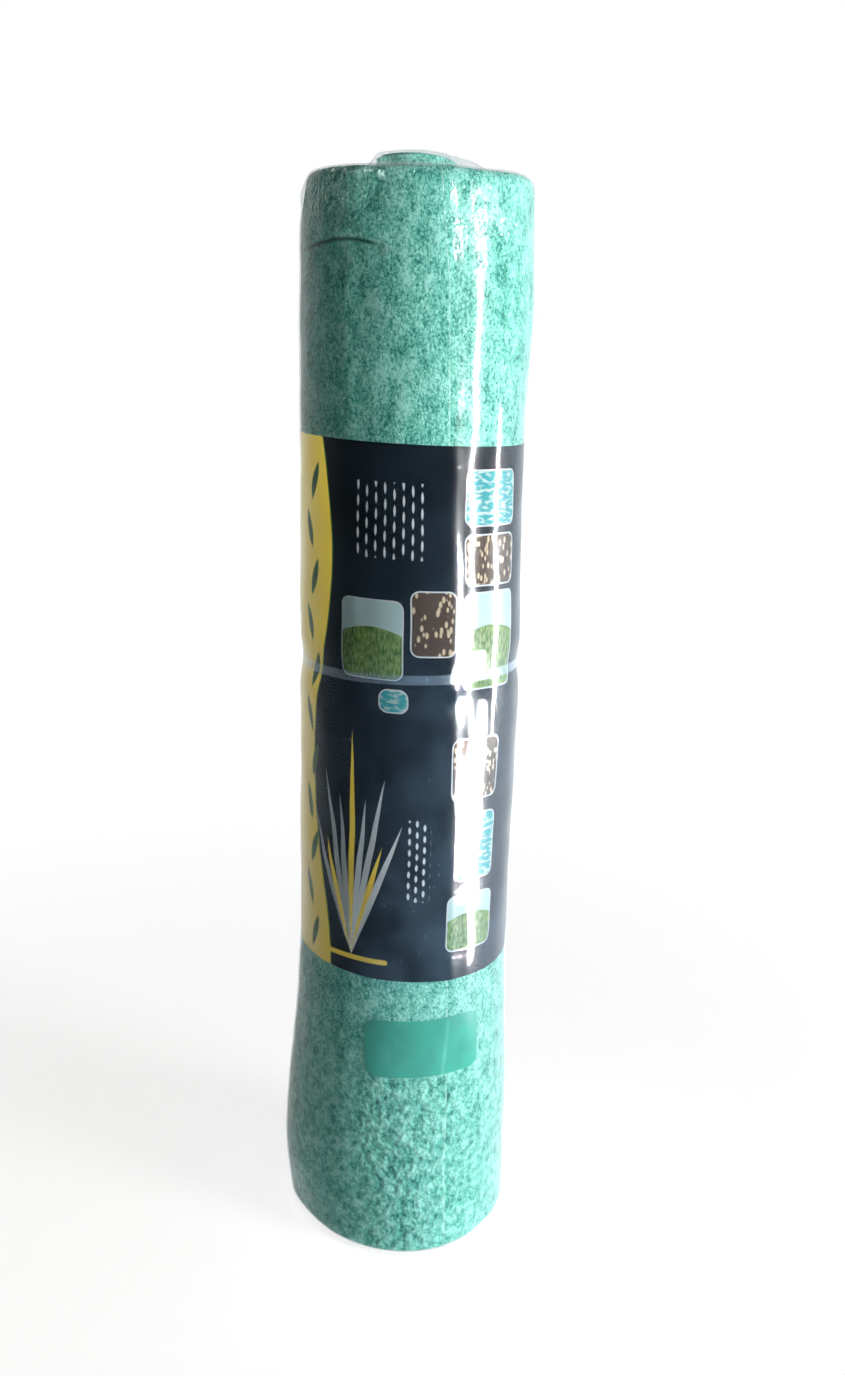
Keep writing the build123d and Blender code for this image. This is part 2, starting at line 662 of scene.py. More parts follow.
class Graph:
    """The nodes of one material, or of the surround."""

    def __init__(self, owner: Union[bpy.types.Material, bpy.types.World]) -> None:
        """Start afresh on the nodes of a material or a world.

        Args:
            owner: The material or the world.
        """
        self.owner = owner
        owner.use_nodes = True
        self.tree = owner.node_tree
        self.tree.nodes.clear()

    @classmethod
    def of_material(cls, name: str) -> "Graph":
        """Start a new material."""
        return cls(bpy.data.materials.new(name))

    def node(
        self,
        kind: str,
        settings: Optional[dict[str, object]] = None,
        inputs: Optional[dict[Union[str, int], object]] = None,
    ) -> Made:
        """Add a node, set it, and fill or link its sockets.

        Args:
            kind: The node's type.
            settings: Its properties, set first.
            inputs: Values or links for its sockets, by name or number.
        Returns:
            The node.
        """
        node = self.tree.nodes.new(kind)
        for name, value in (settings or {}).items():
            setattr(node, name, value)
        for name, value in (inputs or {}).items():
            socket = node.inputs[name]
            if isinstance(value, Value):
                self.tree.links.new(value.socket, socket)
            elif isinstance(value, tuple) and len(value) == 3 and socket.type == "RGBA":
                socket.default_value = (*value, 1.0)
            else:
                socket.default_value = value
        return Made(self, node)

    def maths(self, operation: str, *values: Number) -> Value:
        """Work out a Math node's operation on numbers."""
        inputs = {number: value for number, value in enumerate(values)}
        return self.node("ShaderNodeMath", {"operation": operation}, inputs).out()

    def place(self) -> Value:
        """The place on the piece, in metres."""
        return self.node("ShaderNodeTexCoord").out("Object")

    def parts(self, vector: Value) -> tuple[Value, Value, Value]:
        """The three numbers of a vector."""
        split = self.node("ShaderNodeSeparateXYZ", None, {0: vector})
        return split.out("X"), split.out("Y"), split.out("Z")

    def stretched(self, vector: Value, scale: Triple) -> Value:
        """A vector with each of its numbers scaled."""
        inputs = {"Vector": vector, "Scale": scale}
        return self.node("ShaderNodeMapping", None, inputs).out("Vector")

    def noise(self, vector: Value, grain: Grain) -> Value:
        """Soft noise, mostly from 0.3 to 0.7.

        Args:
            vector: Where to read the noise.
            grain: The kind of noise.
        Returns:
            The noise.
        """
        inputs = {
            "Vector": vector,
            "Scale": 1.0 / grain.size,
            "Detail": grain.detail,
            "Roughness": grain.roughness,
            "Distortion": grain.warp,
        }
        return self.node("ShaderNodeTexNoise", None, inputs).out(0)

    def cells(self, vector: Value, size: float) -> Made:
        """Scattered points, one to each cell of a size, with the distance to the nearest."""
        inputs = {"Vector": vector, "Scale": 1.0 / size}
        return self.node("ShaderNodeTexVoronoi", {"feature": "F1"}, inputs)

    def blend(self, share: Number, first: Union[Value, Colour], second: Union[Value, Colour]) -> Value:
        """A colour part of the way from the first to the second."""
        inputs = {0: share, 6: first, 7: second}
        return self.node("ShaderNodeMix", {"data_type": "RGBA"}, inputs).out(2)

    def bump(self, height: Value, depth: float, after: Optional[Value] = None) -> Value:
        """A surface direction tipped by a height.

        Args:
            height: The height, in units of depth.
            depth: What a height of 1 stands for, in metres.
            after: A direction that this one starts from.
        Returns:
            The direction.
        """
        inputs: dict[Union[str, int], object] = {"Height": height, "Distance": depth, "Strength": 1.0}
        if after is not None:
            inputs["Normal"] = after
        return self.node("ShaderNodeBump", None, inputs).out("Normal")

    def mixed(self, share: Number, first: Value, second: Value) -> Value:
        """A shader part of the way from the first to the second."""
        return self.node("ShaderNodeMixShader", None, {0: share, 1: first, 2: second}).out()

    def diffuse(self, colour: Colour) -> Value:
        """A shader that scatters light evenly."""
        return self.node("ShaderNodeBsdfDiffuse", None, {"Color": colour}).out()

    def gloss(self, roughness: float, direction: Optional[Value] = None) -> Value:
        """A white mirror.

        Args:
            roughness: How blurred it is.
            direction: The surface direction, if it isn't the mesh's own.
        Returns:
            The shader.
        """
        inputs: dict[Union[str, int], object] = {"Color": (1.0, 1.0, 1.0), "Roughness": roughness}
        if direction is not None:
            inputs["Normal"] = direction
        return self.node("ShaderNodeBsdfGlossy", {"distribution": "GGX"}, inputs).out()

    def matt(self, colour: Value, roughness: float, **more: Number) -> bpy.types.Material:
        """Finish the material with a coloured surface that has no gloss of its own.

        Args:
            colour: The surface's colour.
            roughness: How rough it is.
            **more: Other sockets of the surface that are set or linked.
        Returns:
            The material.
        """
        inputs = {"Base Color": colour, "Roughness": roughness, "Specular IOR Level": 0.0, **more}
        return self.finish(self.node("ShaderNodeBsdfPrincipled", None, inputs).out())

    def finish(self, surface: Value) -> bpy.types.Material:
        """Make a shader the material's surface."""
        self.node("ShaderNodeOutputMaterial", None, {"Surface": surface})
        return self.owner


@dataclass(frozen=True)
class Fold:
    """The short arched fold in the felt, high up on the left of the front.

    The felt is pushed in along a span of bearings and swells just above. Painted shade darkens
    its colour along the same arch, over a span in metres across.
    """

    level: float = 571.5 * MM
    rise: float = 4.0 * MM
    bearings: Span = (-62.0, -18.0)
    pushes: int = 8
    depth: float = 1.0 * MM
    reach: float = 6.5 * MM
    swell: float = 0.7 * MM
    swell_above: float = 6.0 * MM
    swell_reach: float = 8.0 * MM
    across: Span = (-58 * MM, -16 * MM)
    left_fade: Span = (-0.1, 0.15)
    right_fade: Span = (1.05, 0.8)
    front: Span = (0.0, -5 * MM)
    width: float = 1.7 * MM

    def dents(self) -> list[Dent]:
        """The pushes that make the fold.

        Returns:
            A dent on the arch and a swelling above it, for each stop along it.
        """
        dents = []
        left, right = self.bearings
        for number in range(self.pushes):
            share = number / (self.pushes - 1)
            bearing = left + (right - left) * share
            height = self.level + self.rise * math.sin(math.pi * share)
            dents.append(Dent(bearing, height, -self.depth, self.reach))
            dents.append(Dent(bearing, height + self.swell_above, self.swell, self.swell_reach))
        return dents

    def painted_shade(self, graph: Graph, place: Value) -> Value:
        """How much painted shade darkens the felt along the fold.

        Args:
            graph: The felt's nodes.
            place: The place on the felt.
        Returns:
            A number from 0 to 1.
        """
        across, along, height = graph.parts(place)
        left, right = self.across
        share = (across - left) / (right - left)
        arch = graph.maths("SINE", share * math.pi) * self.rise + self.level
        line = (1.0 - abs(height - arch) / self.width).at_least(0.0)
        ends = share.between(*self.left_fade) * share.between(*self.right_fade)
        return line * ends * along.between(*self.front)


@dataclass(frozen=True)
class Layer:
    """One layer of the felt's mottle: its noise, and how much it counts in colour and in relief."""

    grain: Grain
    colour: float
    relief: float


@dataclass(frozen=True)
class FeltFinish:
    """Needled green felt: pale fibres matted over darker ones, with a lumpy face at the foot."""

    dark: Colour = (0.034, 0.225, 0.175)
    middle: Colour = (0.150, 0.560, 0.440)
    pale: Colour = (0.420, 0.870, 0.760)
    # The next two colours are painted light: shade along the fold, and a highlight along the free edge.
    shade: Colour = (0.010, 0.070, 0.055)
    edge_highlight: Colour = (0.70, 0.97, 0.88)
    paleness: float = 0.52
    middle_range: Span = (0.28, 0.56)
    pale_range: Span = (0.48, 0.80)
    tufts: Layer = Layer(Grain(8.0 * MM, 3.0, 0.55), 0.7, 1.4)
    specks: Layer = Layer(Grain(1.45 * MM, 4.0, 0.62, 0.6), 1.15, 0.8)
    strands: Layer = Layer(Grain(1.8 * MM, 2.0, 0.5, 1.2), 0.2, 0.2)
    strand_width: float = 3.0
    knots: Layer = Layer(Grain(4.8 * MM, 1.5, 0.45), 0.6, 7.5)
    stretch: Triple = (1.0, 1.0, 0.7)
    relief: float = 0.5 * MM
    foot_zone: Span = (190 * MM, 80 * MM)
    foot_evenness: float = 0.35
    foot_paleness: float = 0.04
    # The painted highlight along the free edge is broken into patches, and fades within a few degrees of
    # the edge.
    edge_highlight_breaks: Grain = Grain(9.0 * MM, 2.0, 0.6)
    edge_highlight_sweep: float = 1.1
    fold: Fold = Fold()

    def material(self) -> bpy.types.Material:
        """Build the felt's material.

        Returns:
            The material.
        """
        graph = Graph.of_material("green_felt")
        place = graph.place()
        _, _, height = graph.parts(place)
        foot = height.between(*self.foot_zone)
        upright = graph.stretched(place, self.stretch)
        tufts = graph.noise(upright, self.tufts.grain)
        specks = graph.noise(upright, self.specks.grain)
        strands = 1.0 - abs(graph.noise(upright, self.strands.grain) * 2.0 - 1.0) * self.strand_width
        knots = graph.noise(place, self.knots.grain)
        mottle = tufts * self.tufts.colour + specks * self.specks.colour - 1.0
        mottle = mottle + strands.at_least(-0.5) * self.strands.colour
        lumps = (knots - 0.5) * self.knots.colour + self.foot_paleness
        mottle = mottle * (1.0 - foot * self.foot_evenness) + lumps * foot + self.paleness
        colour = graph.blend(mottle.between(*self.middle_range), self.dark, self.middle)
        colour = graph.blend(mottle.between(*self.pale_range), colour, self.pale)
        # Painted shade darkens the felt along the fold, in the shade colour.
        colour = graph.blend(self.fold.painted_shade(graph, place), colour, self.shade)
        # A painted highlight pales the felt along the mat's free edge, where its step catches the light.
        colour = graph.blend(self.edge_highlight_share(graph, place), colour, self.edge_highlight)
        relief = tufts * self.tufts.relief + specks * self.specks.relief
        relief = relief + strands.at_least(0.0) * self.strands.relief + knots * foot * self.knots.relief
        return graph.matt(colour, 1.0, Normal=graph.bump(relief, self.relief))

    def edge_highlight_share(self, graph: Graph, place: Value) -> Value:
        """How strongly a painted highlight pales the felt along its free edge, in broken patches.

        Args:
            graph: The felt's nodes.
            place: The place on the felt.
        Returns:
            A number from 0 to 1.
        """
        swept = graph.node("ShaderNodeAttribute", {"attribute_name": "swept"}).out("Fac")
        patches = graph.noise(place, self.edge_highlight_breaks).between(0.35, 0.55) * 0.55 + 0.15
        return (1.0 - swept / self.edge_highlight_sweep).at_least(0.0) * patches


@dataclass(frozen=True)
class TapeFinish:
    """Smooth green tape, a little brighter and evener than the felt, with a painted highlight along its
    ridge.
    """

    colour: Colour = (0.054, 0.365, 0.275)
    # The pale colour is a painted highlight along the ridge over the mat's free edge.
    pale: Colour = (0.20, 0.66, 0.54)
    lightening: float = 1.35
    specks: Grain = Grain(0.9 * MM, 2.0, 0.6)
    clouds: Grain = Grain(14 * MM, 2.0, 0.5)
    relief: float = 0.06 * MM
    ridge_across: float = 27.5 * MM
    ridge_level: float = 158 * MM
    ridge_lean: float = 0.09
    ridge_width: float = 1.6 * MM

    def material(self) -> bpy.types.Material:
        """Build the tape's material.

        Returns:
            The material.
        """
        graph = Graph.of_material("green_tape")
        place = graph.place()
        specks = graph.noise(place, self.specks)
        clouds = graph.noise(place, self.clouds)
        lighter = tuple(part * self.lightening for part in self.colour)
        colour = graph.blend((clouds * 0.6 + specks * 0.4).between(0.3, 0.7), self.colour, lighter)
        across, _, height = graph.parts(place)
        # A painted highlight in the pale colour, along the ridge that the mat's free edge raises under
        # the tape.
        ridge = across - self.ridge_across - (height - self.ridge_level) * self.ridge_lean
        line = (1.0 - abs(ridge) / self.ridge_width).at_least(0.0) * (clouds * 1.2 - 0.2)
        colour = graph.blend(line, colour, self.pale)
        return graph.matt(colour, 0.6, Normal=graph.bump(specks, self.relief))


@dataclass(frozen=True)
class SeedField:
    """A field of small printed seeds: two corners, the step between seeds, and a seed's size."""

    left_low: Point
    right_high: Point
    step: Point
    seed: Point
    stagger: float = 0.37
    rounding: float = 0.5 * MM


class Art:
    """A flat drawing in a material, painted shape over shape on a map in metres.

    A shape is the distance of a point from its outline, below zero inside.
    """

    def __init__(self, graph: Graph, across: Value, up: Value, ground: Colour) -> None:
        """Start with plain ground.

        Args:
            graph: The material's nodes.
            across: How far right a point of the drawing is.
            up: How far up it is.
            ground: The colour of the ground.
        """
        self.graph = graph
        self.across = across
        self.up = up
        self.colour: Union[Value, Colour] = ground
        self.metal: Number = 0.0

    def tile(self, across: float, up: float, width: float, height: float, rounding: float) -> Value:
        """A rounded rectangle.

        Args:
            across: Its middle.
            up: Its middle.
            width: Its width.
            height: Its height.
            rounding: The radius of its corners.
        Returns:
            The shape.
        """
        right = (abs(self.across - across) - (width / 2 - rounding)).at_least(0.0)
        high = (abs(self.up - up) - (height / 2 - rounding)).at_least(0.0)
        return (right * right + high * high) ** 0.5 - rounding

    def blade(self, across: float, up: float, length: float, width: float, lean: float = 0.0) -> Value:
        """An upright leaf, pointed at both ends.

        Args:
            across: Its middle.
            up: Its middle.
            length: Its length.
            width: Its width.
            lean: How far right it leans for each unit up.
        Returns:
            The shape.
        """
        radius = (length * length / width + width) / 4
        offset = radius - width / 2
        high = self.up - up
        side = abs(self.across - across - high * lean) + offset
        return (side * side + high * high) ** 0.5 - radius

    def seeds(self, patch: SeedField) -> Value:
        """Small upright seeds in staggered columns.

        Args:
            patch: Where they are, and their size.
        Returns:
            The shape.
        """
        graph = self.graph
        (left, low), (right, high) = patch.left_low, patch.right_high
        step_across, step_up = patch.step
        width, length = patch.seed
        column = graph.maths("FLOOR", (self.across - left) / step_across)
        across = graph.maths("WRAP", self.across - left, step_across, 0.0) - step_across / 2
        staggered = self.up - low + column * step_up * patch.stagger
        up = graph.maths("WRAP", staggered, step_up, 0.0) - step_up / 2
        one = Art(graph, across, up, (0.0, 0.0, 0.0)).blade(0.0, 0.0, length, width)
        bounds = self.tile((left + right) / 2, (low + high) / 2, right - left, high - low, patch.rounding)
        return one.at_least(bounds)

    def inside(self, shape: Value) -> Value:
        """1 inside a shape and 0 outside."""
        softness = 0.25 * MM
        return (0.5 - shape / softness).at_least(0.0).at_most(1.0)

    def paint(self, shape: Value, colour: Union[Value, Colour], metal: float = 0.0) -> None:
        """Paint a shape over the drawing.

        Args:
            shape: The shape.
            colour: Its colour.
            metal: 1 for foil, 0 for ink.
        """
        share = self.inside(shape)
        self.colour = self.graph.blend(share, self.colour, colour)
        self.metal = share * metal + (1.0 - share) * self.metal


class Scene(Enum):
    """What a small picture on the label shows."""

    LAWN = "lawn"
    SOIL = "soil"
    WATER = "water"


@dataclass(frozen=True)
class Picture:
    """A small picture on the label: what it shows, its middle and its size."""

    scene: Scene
    across: float
    up: float
    width: float
    height: float


@dataclass(frozen=True)
class PaperFinish:
    """Coated paper with a printed design: navy with a gold edge, blades and small garden pictures.

    It is drawn in metres right of the front line and up from the label's lower edge.
    """

    navy: Colour = (0.0022, 0.0050, 0.0085)
    gold: Colour = (0.205, 0.150, 0.014)
    pale: Colour = (0.62, 0.66, 0.68)
    leaf: Colour = (0.055, 0.20, 0.035)
    grass: Colour = (0.060, 0.150, 0.030)
    grass_light: Colour = (0.24, 0.36, 0.11)
    earth: Colour = (0.075, 0.045, 0.025)
    seed: Colour = (0.55, 0.43, 0.28)
    water: Colour = (0.04, 0.33, 0.36)
    sky: Colour = (0.42, 0.58, 0.58)
    roughness: float = 0.45
    edge_across: float = -54 * MM
    edge_swing: float = 8 * MM
    edge_wave: float = 240 * MM
    edge_rim: float = 1.0 * MM
    gold_end: float = -128 * MM
    leaves: int = 11
    leaf_sides: tuple[Point, Point] = ((-61 * MM, 0.3), (-67 * MM, -0.3))
    leaf_low: float = 16 * MM
    leaf_step: float = 26 * MM
    leaf_size: Point = (21 * MM, 5.5 * MM)
    blades: int = 9
    root: Point = (-31 * MM, 12 * MM)
    blade_fan: float = 0.09
    blade_length: float = 132 * MM
    blade_fall: float = 13 * MM
    blade_turn_shorter: float = 26 * MM
    blade_width: float = 3.6 * MM
    root_bar: tuple[float, float, float, float] = (10 * MM, 44 * MM, 3 * MM, 1.4 * MM)
    few_seeds: SeedField = SeedField(
        (0.0, 48 * MM), (14 * MM, 96 * MM), (4.2 * MM, 6.5 * MM), (1.6 * MM, 4.2 * MM)
    )
    many_seeds: SeedField = SeedField(
        (-31 * MM, 240 * MM), (8 * MM, 280 * MM), (4.9 * MM, 8.4 * MM), (1.3 * MM, 6.2 * MM)
    )
    picture_rounding: float = 5 * MM
    picture_rim: float = 0.7 * MM
    lawn_strands: Grain = Grain(1.2 * MM, 3.0, 0.6)
    hill_level: float = 0.16
    hill_bend: float = 14.0
    soil_cell: float = 2.6 * MM
    waves: Grain = Grain(2.0 * MM, 2.0, 0.5)
    pictures: tuple[Picture, ...] = (
        Picture(Scene.LAWN, 41 * MM, 33 * MM, 33 * MM, 34 * MM),
        Picture(Scene.WATER, 43 * MM, 78 * MM, 29 * MM, 40 * MM),
        Picture(Scene.SOIL, 41 * MM, 124 * MM, 33 * MM, 36 * MM),
        Picture(Scene.LAWN, -21 * MM, 196 * MM, 36 * MM, 44 * MM),
        Picture(Scene.SOIL, 13 * MM, 206 * MM, 25 * MM, 36 * MM),
        Picture(Scene.WATER, -8 * MM, 163 * MM, 16 * MM, 13 * MM),
        Picture(Scene.LAWN, 49 * MM, 196 * MM, 38 * MM, 54 * MM),
        Picture(Scene.SOIL, 49 * MM, 240 * MM, 38 * MM, 28 * MM),
        Picture(Scene.WATER, 49 * MM, 273 * MM, 38 * MM, 30 * MM),
    )

    def gold_edge(self, art: Art) -> None:
        """Paint the wavy gold edge, and the leaves that climb it.

        Args:
            art: The drawing.
        """
        swing = art.graph.maths("COSINE", art.up / self.edge_wave * math.tau) * self.edge_swing
        edge = art.across - swing - self.edge_across
        art.paint(edge - self.edge_rim, self.leaf)
        art.paint(edge, self.gold, 1.0)
        art.paint(art.across - self.gold_end, self.navy)
        for number in range(self.leaves):
            across, lean = self.leaf_sides[number % 2]
            up = self.leaf_low + self.leaf_step * number
            art.paint(art.blade(across, up, *self.leaf_size, lean), self.leaf)

    def tuft(self, art: Art) -> None:
        """Paint a tuft of grass, whose blades fan out from one root.

        Args:
            art: The drawing.
        """
        across, up = self.root
        for number in range(self.blades):
            aside = number - self.blades // 2
            lean = aside * self.blade_fan
            length = self.blade_length - abs(aside) * self.blade_fall
            length -= number % 2 * self.blade_turn_shorter
            shape = art.blade(across + lean * length / 2, up + length / 2, length, self.blade_width, lean)
            foil = number % 3 == 1
            art.paint(shape, self.gold if foil else self.pale, 1.0 if foil else 0.0)
        art.paint(art.tile(across, *self.root_bar), self.gold, 1.0)

    def picture(self, art: Art, picture: Picture) -> None:
        """Paint a small picture with a pale rim.

        Args:
            art: The drawing.
            picture: What it shows, and where.
        """
        graph = art.graph
        flat = graph.node("ShaderNodeCombineXYZ", None, {"X": art.across, "Y": art.up}).out()
        edge = art.tile(picture.across, picture.up, picture.width, picture.height, self.picture_rounding)
        art.paint(edge, self.pale)
        if picture.scene is Scene.LAWN:
            strands = graph.noise(graph.stretched(flat, (1.0, 0.3, 1.0)), self.lawn_strands)
            lawn = graph.blend(strands.between(0.35, 0.65), self.grass, self.grass_light)
            right = art.across - picture.across
            crest = picture.up + picture.height * self.hill_level
            hill = art.up - crest + right * right * self.hill_bend
            fill = graph.blend(art.inside(hill), self.sky, lawn)
        elif picture.scene is Scene.SOIL:
            grains = graph.cells(graph.stretched(flat, (1.0, 0.5, 1.0)), self.soil_cell).out("Distance")
            fill = graph.blend(grains.between(0.42, 0.30), self.earth, self.seed)
        else:
            waves = graph.noise(graph.stretched(flat, (0.4, 1.0, 1.0)), self.waves)
            fill = graph.blend(waves.between(0.45, 0.65), self.water, self.sky)
        art.paint(edge + self.picture_rim, fill)

    def material(self) -> bpy.types.Material:
        """Build the label's material.

        Returns:
            The material.
        """
        graph = Graph.of_material("printed_paper")
        across, up, _ = graph.parts(graph.node("ShaderNodeUVMap", {"uv_map": "paper"}).out("UV"))
        art = Art(graph, across, up, self.navy)
        self.gold_edge(art)
        self.tuft(art)
        art.paint(art.seeds(self.few_seeds).at_most(art.seeds(self.many_seeds)), self.pale)
        for picture in self.pictures:
            self.picture(art, picture)
        return graph.matt(art.colour, self.roughness, Metallic=art.metal)


@dataclass(frozen=True)
class ClearFinish:
    """Clear film or tape: it shows what lies under it, shines, and greys where it is seen edge on.

    It carries fine dust, more of it round the label than higher up. The film is also crinkled near
    the top rim, where it was drawn together.
    """

    name: str
    roughness: float = 0.04
    glow: float = 0.22
    glow_roughness: float = 0.24
    mirror: float = 0.0016
    edge_mirror: float = 0.55
    most_mirror: float = 0.24
    mirror_power: float = 4.0
    haze: float = 0.25
    haze_power: float = 3.0
    through: Colour = (0.97, 0.98, 0.98)
    tint: Colour = (0.62, 0.74, 0.80)
    dust: float = 0.085
    dust_tint: Colour = (0.38, 0.64, 0.95)
    dust_cell: float = 3.4 * MM
    dust_edge: Span = (0.14, 0.06)
    dust_choice: Span = (0.45, 0.55)
    dust_clouds: Grain = Grain(30 * MM, 3.0, 0.6)
    least_dust: float = 0.3
    settled: tuple[Triple, ...] = (
        (460 * MM, 300 * MM, 0.7),
        (300 * MM, 200 * MM, 0.35),
        (170 * MM, 100 * MM, -0.5),
    )
    relief: float = 0.05 * MM
    ripples: Grain = Grain(18 * MM, 1.5, 0.45, 0.3)
    crinkle: float = 0.0
    crinkles: Grain = Grain(8 * MM, 2.0, 0.5, 1.4)
    crinkle_zone: Span = (553 * MM, 605 * MM)

    def waves(self, graph: Graph, place: Value) -> Value:
        """The ripples, and the crinkles near the top rim.

        Args:
            graph: The material's nodes.
            place: The place on the film.
        Returns:
            Their height, in units of the relief.
        """
        waves = graph.noise(graph.stretched(place, (1.0, 1.0, 0.45)), self.ripples)
        if self.crinkle > 0:
            _, _, height = graph.parts(place)
            folds = graph.noise(graph.stretched(place, (1.0, 1.0, 0.6)), self.crinkles)
            ridges = (1.0 - abs(folds * 2.0 - 1.0)) ** 9.0
            zone = height.between(*self.crinkle_zone) + 0.02
            waves = waves + ridges * zone * (self.crinkle / self.relief)
        return waves

    def grime(self, graph: Graph, place: Value) -> Value:
        """The dust: specks here and there, and a thin even coat.

        Args:
            graph: The material's nodes.
            place: The place on the film.
        Returns:
            How much of the surface it covers.
        """
        _, _, height = graph.parts(place)
        dots = graph.cells(place, self.dust_cell)
        chosen, _, _ = graph.parts(dots.out("Color"))
        specks = dots.out("Distance").between(*self.dust_edge) * chosen.between(*self.dust_choice)
        clouds = graph.noise(place, self.dust_clouds).between(0.3, 0.7)
        settled: Number = self.least_dust
        for start, end, share in self.settled:
            settled = height.between(start, end) * share + settled
        return (specks * 3.5 + 0.75) * (clouds * 0.8 + 0.5) * settled * self.dust

    def material(self) -> bpy.types.Material:
        """Build the clear material.

        Returns:
            The material.
        """
        graph = Graph.of_material(self.name)
        place = graph.place()
        tipped = graph.bump(self.waves(graph, place), self.relief)
        front = 1.0 - graph.node("ShaderNodeNewGeometry").out("Backfacing")
        facing = graph.node("ShaderNodeLayerWeight", None, {"Blend": 0.5, "Normal": tipped}).out("Facing")
        flat_facing = graph.node("ShaderNodeLayerWeight", None, {"Blend": 0.5}).out("Facing")
        mirror = (facing ** self.mirror_power * self.edge_mirror + self.mirror).at_most(self.most_mirror)
        edge = flat_facing ** self.haze_power * self.haze
        milky = (edge * 4.0).at_most(1.0)
        veil = graph.mixed(milky, graph.diffuse(self.dust_tint), graph.diffuse(self.tint))
        clear = graph.node("ShaderNodeBsdfTransparent", None, {"Color": self.through}).out()
        body = graph.mixed((edge + self.grime(graph, place)) * front, clear, veil)
        sharp = graph.gloss(self.roughness, tipped)
        shine = graph.mixed(self.glow, sharp, graph.gloss(self.glow_roughness))
        return graph.finish(graph.mixed(mirror * front, body, shine))


# The pieces


@dataclass
class SeedMat:
    """The wound felt mat, whose turns show as one spiral on each end."""

    form: RollForm
    covered: Span
    base: float = 0.5 * MM
    groove: float = 0.7 * MM
    unevenness: float = 0.25 * MM
    coil_rounding: float = 1.5 * MM
    sink: float = 0.3 * MM
    pressed: float = 0.22 * MM
    pressed_sweep: float = 6.0
    rim_spacing: float = 2.0 * MM
    bare_spacing: float = 2.4 * MM
    hidden_spacing: float = 5.0 * MM
    bore_spacing: float = 40 * MM
    fold: Fold = Fold()
    draws: random.Random = field(default_factory=lambda: random.Random(11))

    def turns(self, outer: float, inner: float, level: float, inward: float) -> list[Point]:
        """The edges of the turns on an end face, from an outer radius in to an inner one.

        Args:
            outer: The radius where the turns start.
            inner: The radius where they end.
            level: The height of the end face.
            inward: -1 where the grooves go down into the roll, 1 where they go up.
        Returns:
            A crest and a groove for each turn.
        """
        points = []
        count = int((outer - inner) / self.form.turn)
        for number in range(count):
            radius = outer - number * self.form.turn
            crest = self.draws.uniform(0, self.unevenness)
            points.append((radius, level + inward * self.groove))
            points.append((radius - self.form.turn / 2, level + inward * crest))
        points.append((outer - count * self.form.turn, level + inward * self.groove))
        return points

    def side(self) -> list[Point]:
        """The mat's side, a little sunk behind the label, with both rims.

        Returns:
            Its points, from the top face down to the base.
        """
        form = self.form
        side = form.rim_arc(0.0, True, self.rim_spacing)[1:-1]
        stops = form.stops(self.bare_spacing, self.hidden_spacing, self.covered)
        for radius, height in form.side_line(0.0, stops):
            hidden = self.covered[0] < height < self.covered[1]
            side.append((radius - self.sink if hidden else radius, height))
        rim = form.rim_arc(0.0, False, self.rim_spacing)[1:]
        return side + [(radius, height + self.base) for radius, height in reversed(rim)]

    def profile(self) -> list[Point]:
        """Half the mat's section, from the coil's top round to it again.

        Returns:
            Its closed outline.
        """
        form = self.form
        shift = form.coil_top - form.top
        inner = form.bore + form.turn
        top_turns = self.turns(form.radius - form.rim, form.coil_radius, form.top, -1)
        coil_turns = self.turns(form.coil_radius - self.coil_rounding, inner, form.coil_top, -1)
        base_turns = self.turns(form.foot_radius - form.rim, form.coil_radius, self.base, 1)
        under_turns = self.turns(form.coil_radius, inner, self.base + shift, 1)
        coil_edge = (top_turns[-1][0], form.coil_top - self.coil_rounding)
        recess = (base_turns[-1][0], self.base + shift)
        bore_line = spaced(self.base + shift, form.coil_top, self.bore_spacing)[1:]
        bore = [(under_turns[-1][0], height) for height in bore_line]
        outline = coil_turns[::-1] + [coil_edge] + top_turns[::-1] + self.side()
        outline += base_turns + [recess] + under_turns[1:] + bore
        return outline + [outline[0]]

    def push(self, swept: float) -> float:
        """How far out a column lies: the spiral, with its free end pressed thinner."""
        flattened = self.pressed * max(0.0, 1 - swept / self.pressed_sweep)
        return -self.form.turn * swept / 360 - flattened

    def build(self) -> bpy.types.Object:
        """Turn the mat, wind its columns into a spiral, close it and give its face lumps.

        Returns:
            The mat.
        """
        form = self.form
        piece = lathe("felt_roll", self.profile(), form.steps, form.wound_bearing, self.push)
        start_edit(piece)
        pick_mesh(True)
        bpy.ops.mesh.remove_doubles(threshold=SAME_PLACE)
        pick_mesh(False)
        bpy.ops.mesh.select_non_manifold()
        bpy.ops.mesh.fill_holes(sides=0)
        pick_mesh(False)
        bpy.ops.mesh.select_mode(type="FACE")
        bpy.ops.mesh.select_face_by_sides(number=4, type="GREATER")
        bpy.ops.mesh.quads_convert_to_tris(quad_method="BEAUTY", ngon_method="BEAUTY")
        pick_mesh(True)
        bpy.ops.mesh.normals_make_consistent(inside=False)
        end_edit()
        form.settle(piece)
        for dent in self.fold.dents():
            form.dent(piece, dent)
        return piece


